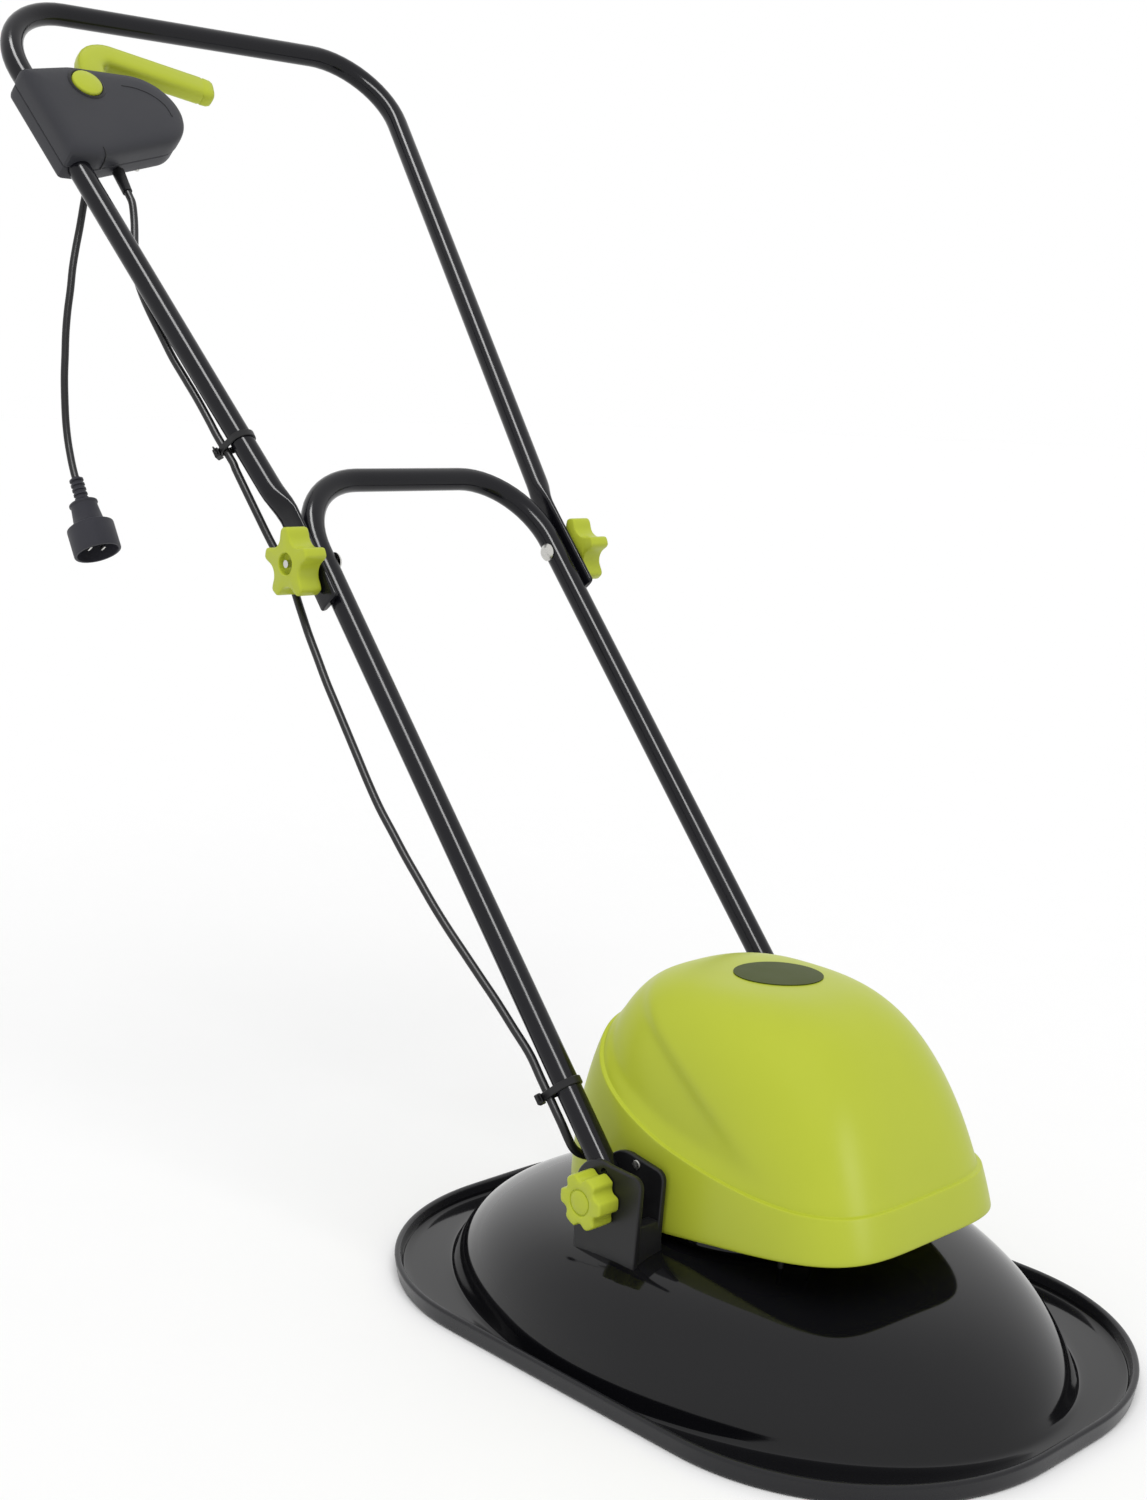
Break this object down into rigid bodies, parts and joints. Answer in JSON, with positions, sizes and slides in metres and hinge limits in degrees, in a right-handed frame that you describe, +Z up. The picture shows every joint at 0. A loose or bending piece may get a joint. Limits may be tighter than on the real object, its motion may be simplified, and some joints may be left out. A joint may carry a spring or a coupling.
{
  "type": "hover mower",
  "caption": "Hover mower with an oval air-cushion hood, a domed motor cover, a hanging fan and blade, a folding tubular handle, a switch lever and a short mains tail.",
  "frame": {"origin": "on the motor axis in the plane of the hood's sole", "axes": "+X forward, away from the user; +Y left; +Z up, along the motor shaft"},
  "size_m": [1.0158, 0.4198, 0.972],
  "materials": {
    "hood_black": "gloss",
    "lime": "satin",
    "zinc": "zinc plated",
    "frame_plastic": "matte",
    "can_steel": "satin",
    "laminations": "varnished",
    "copper": "polished",
    "carbon": "matte",
    "spacer_red": "matte",
    "tube_black": "gloss",
    "box_grey": "satin",
    "block_cream": "matte",
    "cord_black": "satin",
    "pin_nickel": "polished"
  },
  "bodies": {
    "deck": {"hood": "hood_black", "cover": "lime", "cover_screws": "zinc", "motor_bracket": "frame_plastic", "bracket_screws": "zinc", "motor_can": "can_steel", "motor_cap": "frame_plastic", "field_stack": "laminations", "upper_bearing": "zinc", "lower_bearing": "zinc", "carbon_brushes": "carbon", "pivot_bolts": "zinc", "lead_grommet": "cord_black", "lead_lower": "cord_black"},
    "rotor": {"motor_shaft": "can_steel", "armature": "laminations", "commutator": "copper", "fan": "frame_plastic", "blade_spacer": "spacer_red", "blade": "can_steel", "blade_washer": "zinc", "blade_bolt": "zinc"},
    "lower_handle": {"lower_handle": "tube_black", "joint_bolts": "zinc", "lower_clip": "frame_plastic", "lead_middle": "cord_black"},
    "upper_handle": {"upper_handle": "tube_black", "joint_washers": "zinc", "upper_clip": "frame_plastic", "switch_box_top": "box_grey", "switch_box_bottom": "box_grey", "box_screws": "zinc", "microswitch": "frame_plastic", "terminal_block": "block_cream", "lever_pin": "zinc", "lever_spring": "zinc", "lead_gland": "cord_black", "tail_gland": "cord_black", "mains_tail": "cord_black", "plug_body": "cord_black", "plug_blades": "pin_nickel", "lead_upper": "cord_black"},
    "lever": {"switch_lever": "lime"},
    "button": {"lock_button": "lime"},
    "star_knob_left": {"star_knob_left": "lime"},
    "star_knob_right": {"star_knob_right": "lime"},
    "pivot_knob_left": {"pivot_knob_left": "lime"},
    "pivot_knob_right": {"pivot_knob_right": "lime"}
  },
  "joints": [
    {"name": "rotor_spin", "type": "hinge", "parent": "deck", "child": "rotor", "pos_m": [0, 0, 0], "axis": [0, 0, 1], "continuous": true},
    {"name": "handle_tilt", "type": "hinge", "parent": "deck", "child": "lower_handle", "pos_m": [-0.025, 0, 0.116], "axis": [0, -1, 0], "range_deg": [-40, 20], "deforming": ["lead_lower"]},
    {"name": "handle_fold", "type": "hinge", "parent": "lower_handle", "child": "upper_handle", "pos_m": [-0.36439, 0, 0.52047], "axis": [0, 1, 0], "range_deg": [0, 150], "deforming": ["lead_middle"]},
    {"name": "lever_squeeze", "type": "hinge", "parent": "upper_handle", "child": "lever", "pos_m": [-0.65815, -0.14055, 0.87055], "axis": [0.766, 0, 0.6428], "range_deg": [0, 15], "stiffness_Nm_per_rad": 0.6, "springref_deg": -11.46},
    {"name": "lock_press", "type": "slide", "parent": "upper_handle", "child": "button", "axis": [-0.766, 0, -0.6428], "range_m": [0, 0.0035], "stiffness_N_per_m": 600, "springref_m": -0.002},
    {"name": "star_left_turn", "type": "hinge", "parent": "lower_handle", "child": "star_knob_left", "pos_m": [-0.36439, 0, 0.52047], "axis": [0, 1, 0], "continuous": true},
    {"name": "star_right_turn", "type": "hinge", "parent": "lower_handle", "child": "star_knob_right", "pos_m": [-0.36439, 0, 0.52047], "axis": [0, 1, 0], "continuous": true},
    {"name": "pivot_left_turn", "type": "hinge", "parent": "deck", "child": "pivot_knob_left", "pos_m": [-0.025, 0, 0.116], "axis": [0, 1, 0], "continuous": true},
    {"name": "pivot_right_turn", "type": "hinge", "parent": "deck", "child": "pivot_knob_right", "pos_m": [-0.025, 0, 0.116], "axis": [0, 1, 0], "continuous": true}
  ]
}
